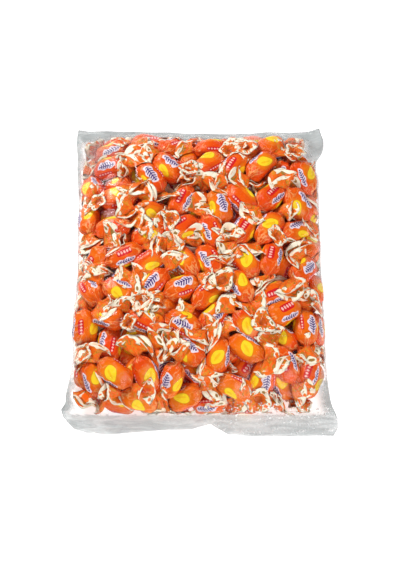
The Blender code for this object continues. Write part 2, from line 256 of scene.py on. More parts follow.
CANDY_LENGTH = 0.031
CANDY_WIDTH = 0.0190
CANDY_DEPTH = 0.0172
NECK_WIDTH = 0.0042
FAN_LENGTH = 0.0165
ROSETTE_WIDTH = 0.0185
ROSETTE_SHARE = 0.10
ROSETTE_DEPTH = 0.012
TUCKED_SHARE = 0.28
GIRTH_POWER = 3.4
SECTION_POWER = 2.8
SIZE_SPREAD = 0.03
BODY_PLEATS = 7
BODY_PLEAT = 0.13
AROUND = 40
BODY_ROWS = np.array([-0.965, -0.86, -0.7, -0.46, -0.16, 0.16, 0.46, 0.7, 0.86, 0.965])
TAIL_ROWS = np.array([0.0, 0.1, 0.22, 0.36, 0.5, 0.64, 0.78, 0.9, 1.0])
INNER_ROWS = np.array([0.97, 0.7, 0.4])
FAN_HALF_ANGLE = (0.7, 1.4)
FAN_WAVES = (1.2, 2.4)
FAN_FOLD = (0.0012, 0.0028)
FAN_DISH = 0.004
FOLD_SHARPNESS = 0.93
FAN_CRINKLE = 0.0003
SHEET_DRAWN_BACK = 0.006
BELL_DRAWN_BACK = 0.004
RIM_WAVE = 0.0007
LEAST_MOUTH = 0.0008
MOUTH_SPREAD = 0.0014
SHEET_GAP = 0.00045
LEAST_GAP = 0.00005
CAP_SHRINK = 0.04
NEAREST = 14
PUSH_STEPS = 5
BODY_KEEP_OFF = 0.0088
BODY_PUSH = 0.5
FAN_KEEP_OFF = (0.0098, 0.0092)
TAIL_LIFT = 0.7
TUCK = -0.5
TAIL_EASINGS = 3
EASING_MEANS = 3
BODY_FLOOR = 0.0008
FAN_FLOOR = 0.0018
FAN_CEILING = 0.004
OUTER_MARGIN = 0.0010
LINING_MARGIN = 0.0008
ROOF_INSET = 0.98
LOOK_SEED = 5
look = np.random.default_rng(LOOK_SEED)
spin = np.linspace(0, 2 * math.pi, AROUND, endpoint=False)


def pushed_out(points, owner, radius, share, lift):
    """Moves points out of the nearest capsules: PUSH_STEPS times, by a share of the deepest overlap.

    The overlap is radius less the distance to a capsule's line, and the way is the unit vector from that line
    plus the lift, made a unit vector again. points is (groups, any, 3). owner is each group's own candy,
    which doesn't push it.
    """
    start = points.mean(1)
    apart = np.linalg.norm(start[:, None] - middle[None], axis=-1)
    apart[np.arange(len(points)), owner] = np.inf
    near = np.argsort(apart, axis=1)[:, :NEAREST]
    for _ in range(PUSH_STEPS):
        deepest = np.zeros(points.shape[:2])
        move = np.zeros_like(points)
        for k in range(NEAREST):
            other = near[:, k]
            from_middle = points - middle[other][:, None]
            along = np.clip((from_middle * axis[other][:, None]).sum(-1), -BALL_SPACING, BALL_SPACING)
            radial = from_middle - along[..., None] * axis[other][:, None]
            depth = radius - np.linalg.norm(radial, axis=-1)
            deeper = depth > deepest
            deepest = np.where(deeper, depth, deepest)
            way = unit(unit(radial) + lift)
            move = np.where(deeper[..., None], way * (depth * share)[..., None], move)
        points = points + move
    return points


def body_rows(flat):
    """The plump part: superellipse sections of power SECTION_POWER, pleated towards the shoulders.

    Its girth is the root of 1 - |t|^GIRTH_POWER, where t runs from -1 to 1 along the candy. BODY_PLEATS
    cosine waves round it grow towards the shoulders, and two slower waves dent it.
    """
    t = BODY_ROWS[:, None]
    girth = np.sqrt(1 - np.abs(t) ** GIRTH_POWER)
    gather = np.clip((np.abs(t) - 0.35) / 0.65, 0, 1) ** 1.5
    phase = look.uniform(0, 2 * math.pi, (candies, 1, 1))
    pleats = 1 + BODY_PLEAT * gather * np.cos(BODY_PLEATS * spin + phase + 2.5 * t)
    dents = 1 + 0.05 * np.cos(2 * spin + 3 * phase + 4 * t) + 0.04 * np.cos(3 * spin - 5 * phase - 6 * t)
    square = 2 / SECTION_POWER
    sideways = np.sign(np.cos(spin)) * np.abs(np.cos(spin)) ** square
    upwards = np.sign(np.sin(spin)) * np.abs(np.sin(spin)) ** square
    size = look.normal(1, SIZE_SPREAD, (candies, 1, 1))
    reach = girth * pleats * dents * size
    side = np.cross(flat, axis)
    return (
        middle[:, None, None] + axis[:, None, None] * (BODY_ROWS * CANDY_LENGTH / 2)[None, :, None, None]
        + side[:, None, None] * (reach * sideways * CANDY_WIDTH / 2)[..., None]
        + flat[:, None, None] * (reach * upwards * CANDY_DEPTH / 2)[..., None])


# A twisted end that is near the film may be a rosette. Its tip then lies towards the film.
film_way = film_side(tail_tip)
below_roof = roof(tail_tip[:, 0], tail_tip[:, 1]) - tail_tip[:, 2]
tip_depth = np.where(film_way[:, 2] > 0, below_roof, tail_tip[:, 2])
rosette = (tip_depth < ROSETTE_DEPTH) & (look.random(len(tail_tip)) < ROSETTE_SHARE)
tucked = ~rosette & (look.random(len(tail_tip)) < TUCKED_SHARE)
upturned = tail_neck + (tail_out * 0.35 + film_way * 0.65) * TAIL_LENGTH * 0.8
tail_tip = np.where(rosette[:, None], upturned, tail_tip)


def tail_sheets(tail_flat):
    """The fans: a flattened tube on a bent centre line. Returns its outer face and its lining.

    The centre line is a quadratic curve from the neck to the tip, and f runs along it from 0 to 1. A flat fan
    spreads from the neck like a hand fan: its rim is an arc, and the tube's middle surface folds in pleats,
    which are rounded triangle waves, and dishes into a parabola. Both grow with a power of f. Its sheet on
    the film's side is drawn back in places, so that the mouth shows the far sheet's inside. A rosette turns
    up to the film and flares like a trumpet's bell, with three to five lobes and one side of its rim drawn
    back. The two faces stand half the mouth's opening above and below the middle surface.
    """
    tails = len(tail_owner)
    f = TAIL_ROWS[:, None]
    turned_up = rosette[:, None, None]
    risen = np.where(turned_up, 1 - (1 - f) ** 1.8, f)
    bend = tail_neck + tail_out * TAIL_LENGTH * 0.4
    centre = (
        tail_neck[:, None] * (1 - risen) ** 2 + bend[:, None] * (2 * risen * (1 - risen))
        + tail_tip[:, None] * risen**2)
    tangent = unit((bend - tail_neck)[:, None] * (1 - risen) + (tail_tip - bend)[:, None] * risen)
    end = np.tile([-1.0, 1.0], candies)
    forward = tangent * end[:, None, None]
    up = across(forward, np.repeat(tail_flat[:, None], len(f), axis=1))
    side = np.cross(up, forward)

    x = np.cos(spin)
    phase = look.uniform(0, 2 * math.pi, (4, tails, 1, 1))
    half_angle = look.uniform(*FAN_HALF_ANGLE, (tails, 1, 1))
    reach = FAN_LENGTH * f
    arc_side = NECK_WIDTH / 2 * (1 - f) * x + reach * np.sin(half_angle * x)
    arc_back = reach * (np.cos(half_angle * x) - 1)
    lobes = look.integers(3, 6, (tails, 1, 1))
    bell = look.uniform(0.75, 1.2, (tails, 1, 1)) * ROSETTE_WIDTH - NECK_WIDTH
    bell = (NECK_WIDTH + bell * f**2.2) / 2 * (1 + 0.13 * f * np.cos(lobes * spin + phase[3]))
    sideways = np.where(turned_up, bell * x, arc_side)

    waves = look.uniform(*FAN_WAVES, (tails, 1, 1))
    sway = 0.8 * np.sin(2.5 * f + phase[2])
    rounded = FOLD_SHARPNESS * np.sin(math.pi * waves * x + phase[0] + sway)
    pleat = np.arcsin(rounded) / math.asin(FOLD_SHARPNESS)
    flatter = np.where(turned_up, 0.2, 1)
    fold = look.uniform(*FAN_FOLD, (tails, 1, 1)) * f**1.2 * flatter
    dish = look.normal(0, FAN_DISH, (tails, 1, 1)) * f**1.6 * flatter
    height = fold * pleat + dish * (x**2 - 0.4)
    height += FAN_CRINKLE * f * np.sin(5.5 * x + 7 * f + phase[1]) * np.cos(2.5 * x - 9 * f + phase[2])
    film_sheet = look.uniform(0.0, SHEET_DRAWN_BACK, (tails, 1, 1)) * np.sin(spin)
    film_sheet = film_sheet * np.cos(1.5 * x + 0.5 * phase[1] - 1.5)
    one_side = look.uniform(0.0, BELL_DRAWN_BACK, (tails, 1, 1)) * (1 + np.cos(spin - phase[1])) / 2
    drawn_back = np.where(turned_up, one_side, film_sheet - arc_back) * f**1.5
    drawn_back = drawn_back - RIM_WAVE * f**3 * np.sin(3.5 * x + phase[3])
    surface = (
        centre[:, :, None] + side[:, :, None] * sideways[..., None]
        + up[:, :, None] * height[..., None] - tangent[:, :, None] * drawn_back[..., None])

    flat_mouth = (look.gamma(2.0, MOUTH_SPREAD, (tails, 1, 1)) + LEAST_MOUTH) * f**0.8
    bell_mouth = 2 * bell * look.uniform(0.65, 1.0, (tails, 1, 1))
    opening = np.where(turned_up, bell_mouth, flat_mouth + NECK_WIDTH * (1 - f) ** 1.5)
    outwards = np.sin(spin)[:, None] * up[:, :, None]
    outer = surface + outwards * (opening / 2)[..., None]
    lining = surface + outwards * np.maximum(opening / 2 - SHEET_GAP, LEAST_GAP)[..., None]
    return outer, lining + (surface.mean(2, keepdims=True) - lining) * CAP_SHRINK


def fit_tails(outer, lining):
    """Lays the fans over or between their neighbours: in turns, pushed out and smoothed like a stiff sheet.

    The smoothing takes means of each point's shift and its neighbours', round the fan and along it, and
    the neck stays. The lining moves with the outer face. Both are clipped to the table, the roof and the
    filled part's sides and ends, each with a margin.
    """
    shape = outer.shape
    radius = np.tile(np.where(np.sin(spin) > 0, *FAN_KEEP_OFF), shape[1])
    lift = (film_way * np.where(tucked, TUCK, TAIL_LIFT)[:, None])[:, None]
    shift = np.zeros_like(outer)
    for turn in range(TAIL_EASINGS):
        laid = pushed_out((outer + shift).reshape(len(outer), -1, 3), tail_owner, radius, 1.0, lift)
        shift = laid.reshape(shape) - outer
        for _ in range(EASING_MEANS if turn < TAIL_EASINGS - 1 else 1):
            along = (shift + np.roll(shift, 1, axis=2) + np.roll(shift, -1, axis=2)) / 3
            shift[:, 1:-1] = (along[:, :-2] + 2 * along[:, 1:-1] + along[:, 2:]) / 4
            shift[:, -1] = (along[:, -2] + along[:, -1]) / 2
        shift[:, 0] = 0
    for sheet, margin in ((outer, OUTER_MARGIN), (lining, LINING_MARGIN)):
        sheet += shift
        half = np.array([FILLED_HALF_WIDTH, FILL_HALF_LENGTH]) + margin
        plan = sheet[..., :2] - (0, FILL_MIDDLE)
        plan = np.clip(plan, -half, half)
        height = roof(plan[..., 0] * ROOF_INSET, plan[..., 1] * ROOF_INSET + FILL_MIDDLE)
        ceiling = np.maximum(height + margin, FAN_CEILING)
        sheet[..., :2] = plan + (0, FILL_MIDDLE)
        sheet[..., 2] = np.clip(sheet[..., 2], FAN_FLOOR - margin, ceiling)
    return outer, lining


body_flat = across(axis, film_side(middle))
tail_flat = np.where(rosette[:, None], unit(film_way - tail_out), across(tail_way, film_way))
tail_flat *= np.sign((tail_flat * body_flat[tail_owner]).sum(-1, keepdims=True))

bodies = body_rows(body_flat)
shape = bodies.shape
bodies = bodies.reshape(candies, -1, 3)
bodies = pushed_out(bodies, np.arange(candies), BODY_KEEP_OFF, BODY_PUSH, np.zeros(3)).reshape(shape)
bodies[..., 2] = np.clip(bodies[..., 2], BODY_FLOOR, THICKNESS + OUTER_MARGIN)

outer, lining = fit_tails(*tail_sheets(tail_flat))
upper_row = np.searchsorted(TAIL_ROWS, INNER_ROWS)
share = (INNER_ROWS - TAIL_ROWS[upper_row - 1]) / (TAIL_ROWS[upper_row] - TAIL_ROWS[upper_row - 1])
share = share[:, None, None]
inner = lining[:, upper_row - 1] * (1 - share) + lining[:, upper_row] * share

low_tail = np.concatenate([outer[0::2], inner[0::2]], 1)[:, ::-1]
high_tail = np.concatenate([outer[1::2], inner[1::2]], 1)
wrappers = np.concatenate([low_tail, bodies, high_tail], 1)
rows = wrappers.shape[1]
inner_count = len(INNER_ROWS)

# sheet_u is each row's place along the sheet in centimetres, and the lining's rows count on past the rim.
# roll turns each print round its candy. tone is each candy's warmth, higher for those nearer the foot.
tail_u = NECK_REACH + TAIL_LENGTH * np.concatenate([TAIL_ROWS, 2 - INNER_ROWS])
sheet_u = np.concatenate([-tail_u[::-1], BODY_ROWS * CANDY_LENGTH / 2, tail_u]) * 100
roll = look.uniform(0, 1, candies)
tone = look.normal(0, 1, candies) - middle[:, 1] * 8


def in_scene(name, made_of):
    """An object of a mesh, a light or a camera, put into the scene."""
    made = bpy.data.objects.new(name, made_of)
    bpy.context.collection.objects.link(made)
    return made


def wrapper_mesh(name, chosen):
    """The chosen candies as one mesh: quads between rows of AROUND corners, with a cap inside each fan.

    The UV map holds each corner's sheet_u and its share of the way round the sheet, plus the candy's roll.
    """
    points = wrappers[chosen].reshape(-1, 3)
    row, column = np.meshgrid(np.arange(rows - 1), np.arange(AROUND), indexing="ij")
    beside = (column + 1) % AROUND
    quad = np.stack([row * AROUND + column, row * AROUND + beside, (row + 1) * AROUND + beside,
                     (row + 1) * AROUND + column], -1).reshape(-1, 4)
    start = np.arange(len(chosen))[:, None, None] * rows * AROUND
    quads = (quad + start).reshape(-1, 4)
    low_cap = start[:, 0] + np.arange(AROUND)[::-1]
    high_cap = start[:, 0] + (rows - 1) * AROUND + np.arange(AROUND)
    mesh = bpy.data.meshes.new(name)
    mesh.from_pydata(points, [], quads.tolist() + low_cap.tolist() + high_cap.tolist())
    u = sheet_u[np.stack([row, row, row + 1, row + 1], -1)].reshape(-1, 4)
    v = (np.stack([column, column + 1, column + 1, column], -1) / AROUND).reshape(-1, 4)
    quad_uv = np.stack([np.broadcast_to(u, (len(chosen), *u.shape)), v + roll[chosen][:, None, None]], -1)
    cap_uv = np.zeros((2 * len(chosen) * AROUND, 2)) + [sheet_u[-1], 0.1]
    mesh.uv_layers.new(name="Sheet").data.foreach_set(
        "uv", np.concatenate([quad_uv.reshape(-1, 2), cap_uv]).ravel())
    tones = np.repeat(tone[chosen], rows * AROUND)
    mesh.attributes.new("tone", "FLOAT", "POINT").data.foreach_set("value", tones)
    mesh.shade_smooth()
    return in_scene(name, mesh)


class Nodes:
    """Short ways to add shader nodes to a material: each call makes one node and returns its output."""

    def __init__(self, name):
        self.material = bpy.data.materials.new(name)
        self.material.use_nodes = True
        self.tree = self.material.node_tree
        self.shader = self.tree.nodes["Principled BSDF"]
        self.output = self.tree.nodes["Material Output"]

    def link(self, value, socket):
        """Links an output to a socket, or sets the socket to a plain value."""
        if isinstance(value, bpy.types.NodeSocket):
            self.tree.links.new(value, socket)
        else:
            socket.default_value = value

    def add(self, kind, inputs=(), **settings):
        """A node of that kind with its settings, and its inputs by name or number."""
        node = self.tree.nodes.new(kind)
        for key, value in settings.items():
            setattr(node, key, value)
        for key, value in dict(inputs).items():
            self.link(value, node.inputs[key])
        return node

    def math(self, operation, *values):
        """One arithmetic step on one, two or three values."""
        return self.add("ShaderNodeMath", enumerate(values), operation=operation).outputs[0]

    def between(self, value, low, high):
        """0 below low and 1 above high, smooth between them."""
        node = self.add("ShaderNodeMapRange", {0: value, 1: low, 2: high}, interpolation_type="SMOOTHSTEP")
        return node.outputs[0]

    def mix(self, share, first, second):
        """first at share 0 and second at share 1, as colours."""
        node = self.add("ShaderNodeMix", {0: share, 6: first, 7: second}, data_type="RGBA")
        return node.outputs[2]

    def noise(self, where, scale, detail=2.0):
        """Smooth random values round 0.5."""
        return self.add("ShaderNodeTexNoise", {"Vector": where, "Scale": scale, "Detail": detail}).outputs[0]


# The print comes twice round a candy. Its fields hold, in centimetres along and round the sheet, the middle,
# half the length and half the width, and where they differ from an ellipse, the outline's power and its turn.
# Dots and marks repeat in a row, where their place is a share of one repeat. The bands hold where a colour
# starts and where it is full, in centimetres from the candy's middle.
SHEET_GIRTH = 5.6
# The next field places painted light, not print: the lighter orange round the oval, where the bodies are lit.
PAINTED_LIGHT_FIELD = (-0.12, 0.62, 1.15, 0.85)
OVAL_FIELD = (-0.12, 0.62, 0.68, 0.39, 2.0, 0.45)
VEIN_FIELD = (-0.12, 0.62, 0.46, 0.08, 2.0, 0.35)
RIBBON_FIELD = (0.05, 1.50, 0.88, 0.27, 2.6)
LEAF_FIELD = (0.05, 1.50, 0.74, 0.21)
BAR_FIELD = (-0.1, 2.22, 0.66, 0.19, 4.0)
DOT_FIELD = (0.5, 2.22, 0.36, 0.09)
DOTS_PER_CM = 4.0
BARBS_PER_CM = 4.6
MARK_FIELD = (2.93, 0.5, 0.13, 0.24)
SCALLOPS = 7.0
SCALLOP_DEPTH = 0.20
FAN_BAND = (2.05, 2.35)
OLIVE_BAND = (3.07, 3.12)
CREAM_BAND = (3.15, 3.18)
LINING_BAND = (3.2, 3.25)
# The next band and the lining's darker colour are painted shade deep inside a fan.
SHADED_BAND = (3.80, 4.15)
ORANGE = (0.85, 0.098, 0.001, 1)
DEEP_ORANGE = (0.80, 0.058, 0.001, 1)
LIGHT_ORANGE = (0.86, 0.150, 0.001, 1)
# The next colour is painted light: the lighter orange round the oval, where the bodies are lit.
PAINTED_LIGHT_ORANGE = (0.89, 0.20, 0.004, 1)
# The next colour is painted shade: the darker orange at the shoulders, where the wrapper gathers into pleats.
SHOULDER_SHADE_ORANGE = (0.81, 0.077, 0.002, 1)
OVAL_RIM = (0.60, 0.26, 0.008, 1)
OVAL_YELLOW = (1.0, 0.68, 0.02, 1)
VEIN_YELLOW = (0.95, 0.52, 0.01, 1)
RIBBON_WHITE = (0.84, 0.72, 0.80, 1)
LEAF_VIOLET = (0.055, 0.022, 0.17, 1)
BAR_RED = (0.66, 0.010, 0.014, 1)
DOT_PINK = (0.95, 0.52, 0.46, 1)
# The next colour is a painted highlight: lighter orange streaks along the creases.
PAINTED_FOLD_HIGHLIGHT = (1.0, 0.48, 0.16, 1)
CREAM = (1.0, 0.93, 0.74, 1)
WARM_CREAM = (1.0, 0.78, 0.58, 1)
MARK_BROWN = (0.34, 0.18, 0.04, 1)
FAN_ORANGE = (0.94, 0.15, 0.008, 1)
FAN_GOLD = (0.80, 0.27, 0.02, 1)
TWIG_BROWN = (0.46, 0.20, 0.02, 1)
EDGE_OLIVE = (0.34, 0.19, 0.03, 1)
LINING_ORANGE = (0.90, 0.15, 0.008, 1)
LINING_PAINTED_SHADE = (0.60, 0.08, 0.005, 1)


def print_motif(n, u, v, centre_u, centre_v, half_u, half_v, power=2.0, turn=0.0):
    """How far inside a turned superellipse a point is: 1 - |a|^p - |b|^p, with a along it and b across it."""
    du, dv = n.math("SUBTRACT", u, centre_u), n.math("SUBTRACT", v, centre_v)
    cos, sin = math.cos(turn), math.sin(turn)
    along = n.math("ADD", n.math("MULTIPLY", du, cos), n.math("MULTIPLY", dv, sin))
    over = n.math("SUBTRACT", n.math("MULTIPLY", dv, cos), n.math("MULTIPLY", du, sin))
    a = n.math("POWER", n.math("ABSOLUTE", n.math("DIVIDE", along, half_u)), power)
    b = n.math("POWER", n.math("ABSOLUTE", n.math("DIVIDE", over, half_v)), power)
    return n.math("SUBTRACT", 1.0, n.math("ADD", a, b))


def printed_wrapper():
    """Glossy printed film. Along the sheet, u is in centimetres from the candy's middle; v runs round it.

    The print is a slanted yellow oval, a violet fern leaf on a white ribbon, and a red bar with a row of pale
    dots. The fans are golden orange with brown twigs. Both faces of a fan end in a cream band with an olive
    edge, broken by brown marks and orange patches. The edge is a row of scallops, which are |sin|, shifted by
    noise. The bump is noise drawn out along the sheet, with flat facets and fine grain. Light and shade are
    painted into the colour as well: a lighter orange round the oval where the bodies are lit, a darker orange
    at the shoulders for their shade, lighter streaks along the creases for highlights, and a darker orange
    deep inside a fan's lining for its shade.
    """
    n = Nodes("printed_wrapper")
    sheet = n.add("ShaderNodeUVMap", uv_map="Sheet").outputs[0]
    parts = n.add("ShaderNodeSeparateXYZ", {0: sheet})
    u, v = parts.outputs[0], parts.outputs[1]
    spot = n.add("ShaderNodeTexCoord").outputs["Object"]
    tone_of = n.add("ShaderNodeAttribute", attribute_name="tone").outputs["Fac"]
    even_sheet = n.add("ShaderNodeMapping", {0: sheet, 3: (1.0, SHEET_GIRTH, 1.0)}).outputs[0]
    long_sheet = n.add("ShaderNodeMapping", {0: sheet, 3: (0.6, SHEET_GIRTH, 1.0)}).outputs[0]
    around = n.math("MULTIPLY", n.math("FRACT", n.math("MULTIPLY", v, 2.0)), SHEET_GIRTH / 2)
    far = n.math("ABSOLUTE", u)

    patches = n.noise(spot, 60.0)
    orange = n.mix(n.between(patches, 0.35, 0.7), ORANGE, DEEP_ORANGE)
    orange = n.mix(n.between(tone_of, -0.8, 2.2), orange, LIGHT_ORANGE)
    # Painted light: a lighter orange round the oval, where the bodies are lit.
    orange = n.mix(n.between(print_motif(n, u, around, *PAINTED_LIGHT_FIELD), 0.0, 0.8), orange, PAINTED_LIGHT_ORANGE)
    # Painted shade: a darker orange towards the shoulders.
    orange = n.mix(n.between(far, 1.15, 1.75), orange, SHOULDER_SHADE_ORANGE)

    oval = print_motif(n, u, around, *OVAL_FIELD)
    vein = print_motif(n, u, around, *VEIN_FIELD)
    yellow = n.mix(n.between(oval, 0.08, 0.20), OVAL_RIM, OVAL_YELLOW)
    yellow = n.mix(n.between(vein, 0.0, 0.5), yellow, VEIN_YELLOW)
    colour = n.mix(n.between(oval, 0.0, 0.06), orange, yellow)

    ripple = n.math("MULTIPLY", n.math("SINE", n.math("MULTIPLY", u, 9.0)), 0.05)
    ribbon = print_motif(n, u, n.math("ADD", around, ripple), *RIBBON_FIELD)
    colour = n.mix(n.between(ribbon, 0.0, 0.12), colour, RIBBON_WHITE)
    off_stem = n.math("ABSOLUTE", n.math("SUBTRACT", around, RIBBON_FIELD[1]))
    slant = n.math("ADD", u, n.math("MULTIPLY", off_stem, 0.9))
    barb = n.math("FRACT", n.math("MULTIPLY", slant, BARBS_PER_CM))
    barb = n.between(n.math("ABSOLUTE", n.math("SUBTRACT", barb, 0.5)), 0.32, 0.20)
    leaf = n.math("MAXIMUM", barb, n.between(off_stem, 0.035, 0.015))
    leaf = n.math("MULTIPLY", leaf, n.between(print_motif(n, u, around, *LEAF_FIELD), 0.0, 0.12))
    colour = n.mix(leaf, colour, LEAF_VIOLET)

    bar = print_motif(n, u, around, *BAR_FIELD)
    colour = n.mix(n.between(bar, 0.0, 0.1), colour, BAR_RED)
    dot = print_motif(n, n.math("FRACT", n.math("MULTIPLY", u, DOTS_PER_CM)), around, *DOT_FIELD)
    dot = n.math("MULTIPLY", n.between(dot, 0.0, 0.3), n.between(bar, 0.15, 0.3))
    colour = n.mix(dot, colour, DOT_PINK)

    # Painted highlight: lighter orange streaks along the creases, growing towards the ends; they raise the
    # bump a little too.
    fold = n.math("ABSOLUTE", n.math("SUBTRACT", n.noise(long_sheet, 1.1, 3.0), 0.5))
    painted_highlight = n.math("MULTIPLY", n.between(fold, 0.022, 0.004), n.between(far, 0.3, 1.3))
    colour = n.mix(n.math("MULTIPLY", painted_highlight, 0.7), colour, PAINTED_FOLD_HIGHLIGHT)
    facet = n.add("ShaderNodeTexVoronoi", {"Vector": long_sheet, "Scale": 1.1}, voronoi_dimensions="2D")
    facet = facet.outputs["Distance"]

    scallops = n.math("ADD", n.math("MULTIPLY", v, SCALLOPS), n.noise(even_sheet, 1.1, 1.0))
    scallop = n.math("ABSOLUTE", n.math("SINE", n.math("MULTIPLY", scallops, math.pi)))
    wave = n.math("MULTIPLY", n.noise(even_sheet, 0.9, 1.0), 0.5)
    wave = n.math("ADD", n.math("MULTIPLY", scallop, SCALLOP_DEPTH), wave)
    edge = n.math("ADD", far, wave)
    cream = n.mix(n.between(n.noise(spot, 90.0), 0.5, 0.7), CREAM, WARM_CREAM)
    patchy = n.noise(even_sheet, 1.9, 1.0)
    mark = print_motif(n, far, n.math("FRACT", scallops), *MARK_FIELD)
    mark = n.math("MULTIPLY", n.between(mark, 0.0, 0.6), n.between(patchy, 0.52, 0.44))
    cream = n.mix(mark, cream, MARK_BROWN)
    gold = n.mix(n.between(n.noise(even_sheet, 2.6), 0.50, 0.62), FAN_ORANGE, FAN_GOLD)
    twig = n.math("ABSOLUTE", n.math("SUBTRACT", n.noise(even_sheet, 1.1, 1.0), 0.5))
    gold = n.mix(n.between(twig, 0.014, 0.006), gold, TWIG_BROWN)
    olive = n.mix(n.between(patchy, 0.46, 0.54), EDGE_OLIVE, gold)
    cream = n.mix(n.between(patchy, 0.545, 0.585), cream, gold)
    fan = n.mix(n.between(edge, *CREAM_BAND), n.mix(n.between(edge, *OLIVE_BAND), gold, olive), cream)
    colour = n.mix(n.between(edge, *FAN_BAND), colour, fan)
    # Painted shade: the lining turns darker deep inside the fan, back towards the neck.
    lining = n.mix(n.between(far, *SHADED_BAND), LINING_ORANGE, LINING_PAINTED_SHADE)
    lining = n.mix(n.between(twig, 0.025, 0.010), lining, olive)
    back_edge = n.math("SUBTRACT", far, wave)
    lining = n.mix(n.between(back_edge, 3.16, 3.11), lining, olive)
    lining = n.mix(n.between(far, *LINING_BAND), colour, lining)
    colour = n.mix(n.between(back_edge, 3.06, 3.09), colour, lining)
    n.link(colour, n.shader.inputs["Base Color"])

    crease = n.add("ShaderNodeTexNoise", {
        "Vector": n.add("ShaderNodeMapping", {0: sheet, 3: (1.0, 9.0, 1.0)}).outputs[0],
        "Scale": 1.6, "Detail": 3.0, "Distortion": 0.6}).outputs[0]
    fine = n.noise(spot, 420.0, 3.0)
    drawn = n.math("ADD", 0.7, n.between(far, 0.6, 1.5))
    height = n.math("ADD", n.math("MULTIPLY", crease, drawn), n.math("MULTIPLY", fine, 0.10))
    height = n.math("ADD", height, n.math("MULTIPLY", painted_highlight, 0.12))
    height = n.math("ADD", height, n.math("MULTIPLY", facet, 0.9))
    bump = n.add("ShaderNodeBump", {"Strength": 0.7, "Distance": 0.0020, "Height": height})
    n.link(bump.outputs[0], n.shader.inputs["Normal"])
    n.link(n.add("ShaderNodeMapRange", {0: fine, 1: 0.3, 2: 0.7, 3: 0.20, 4: 0.34}).outputs[0],
           n.shader.inputs["Roughness"])
    n.shader.inputs["Specular IOR Level"].default_value = 0.25
    return n.material


wrapper = printed_wrapper()
height_rank = np.argsort(np.argsort(middle[:, 2])) * 3 // candies
for part, name in enumerate(("candies_lower", "candies_middle", "candies_upper")):
    piece = wrapper_mesh(name, np.nonzero(height_rank == part)[0])
    piece.data.materials.append(wrapper)
    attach(piece, "root")
    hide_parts("candy_bag")

# ---- The bag's film --------------------------------------------------------------------------------------
# Clear crinkled polypropylene, one tube pressed flat and sealed across its header and foot. It is drawn tight
# over the candies, and its flat ends lie on the table with corners that stand out, curl and fold.
# SEAL_EDGE holds a line's y and its left and right edge, and the slack lines hold y and x. The fold and the
# dip hold x and how far the edge is pulled in there. The two sheets meet at SEAM_HEIGHT beside the candies,
# and come down to SEAM_LOW over a stretch of SEAM_FALL that starts SEAM_START before the film's seals.

SEAL_EDGE = (
    (-0.139, -0.1010, 0.1080), (-0.133, -0.1100, 0.1118), (-0.126, -0.1118, 0.1118),
    (-0.118, -0.1085, 0.1090), (-0.110, -0.1040, 0.1060), (0.098, -0.1075, 0.1020),
    (0.108, -0.1080, 0.1080), (0.116, -0.1090, 0.1098), (0.125, -0.1100, 0.1100),
    (0.132, -0.1100, 0.1090), (0.139, -0.1095, 0.1080))
FOOT_END = SEAL_EDGE[0][0]
HEADER_END = SEAL_EDGE[-1][0]
SLACK_LEFT = (
    (-0.115, -0.1085), (-0.100, -0.1065), (-0.088, -0.1045), (-0.060, -0.090),
    (0.020, -0.0995), (0.050, -0.1035), (0.080, -0.1060), (0.098, -0.1075))
SLACK_RIGHT = ((-0.115, 0.1060), (-0.095, 0.1035), (-0.070, 0.1030), (-0.020, 0.090))
FOOT_FOLD = (
    (-0.112, 0.0110), (-0.105, 0.0070), (-0.0915, 0.0026), (-0.0745, 0.0010), (-0.058, 0.0026),
    (-0.025, 0.0052), (-0.006, 0.0055), (0.009, 0.0095), (0.024, 0.0010), (0.040, 0.0))
FOOT_FOLD_DEPTH = 0.040
HEADER_DIP = (
    (-0.100, 0.0), (-0.040, 0.0010), (0.030, 0.0035), (0.060, 0.0015), (0.090, 0.0010), (0.105, 0.0))
FILM_GRID = (176, 212)
FILM_GAP = 0.0005
HEADER_BLEND = 0.026
FOOT_BLEND = 0.012
BLEND_LENGTH = 0.014
SIDE_SPAN_STEPS = 40
END_SLACK = 0.0015
SEAM_HEIGHT = 0.010
SEAM_LOW = 0.0014
SEAM_START = 0.0135
SEAM_FALL = 0.026
CORNER_ROUND = 0.020
CORNER_POWER = 4
RIPPLE = 0.0007
SMALL_RIPPLE = 0.0004
RIPPLE_LIFT = 0.0006
RIGHT_CURL = 0.0065
LEFT_CURL = 0.0025
FOOT_RIB = 0.00045
FOOT_CREASE = 0.0022
CORNER_CREASE = 0.0012
TENT_REACH = 9
TENT_ROOM = 0.004
SHRINK_STEPS = 500
PUCKER = 0.0010
SEALED_APART = 0.00025
SHEETS_APART = 0.0002
UNDERSIDE = 0.0003
HEADER_HAZE = 1.3
FOOT_HAZE = 0.75
LOOSE_HAZE = 1.5
CORNER_HAZE = 1.4
# The next weight is for a painted reflection: a grey patch on the top sheet near the header's left corner.
PAINTED_REFLECTION_HAZE = 0.6
cloud = wrappers[:, inner_count:rows - inner_count].reshape(-1, 3)


def smooth(value):
    """3v^2 - 2v^3 of a value held between 0 and 1."""
    value = np.clip(value, 0, 1)
    return value * value * (3 - 2 * value)


def lines_through(x, y):
    """For each place, the number of the grid line that runs nearest to it, with the foot's fold undone.

    The fold squeezes the first FOOT_FOLD_DEPTH of the lines by how far the edge is pulled in at that x.
    """
    fold = np.interp(x, *np.array(FOOT_FOLD).T)
    folded = (y - FOOT_END - fold) / (FOOT_FOLD_DEPTH - fold)
    line = np.where(folded < 1, FOOT_END + folded * FOOT_FOLD_DEPTH, y)
    number = np.round((line - FOOT_END) / (HEADER_END - FOOT_END) * (FILM_GRID[1] - 1))
    return np.clip(number, 0, FILM_GRID[1] - 1).astype(int)


cloud_line = lines_through(cloud[:, 0], cloud[:, 1])


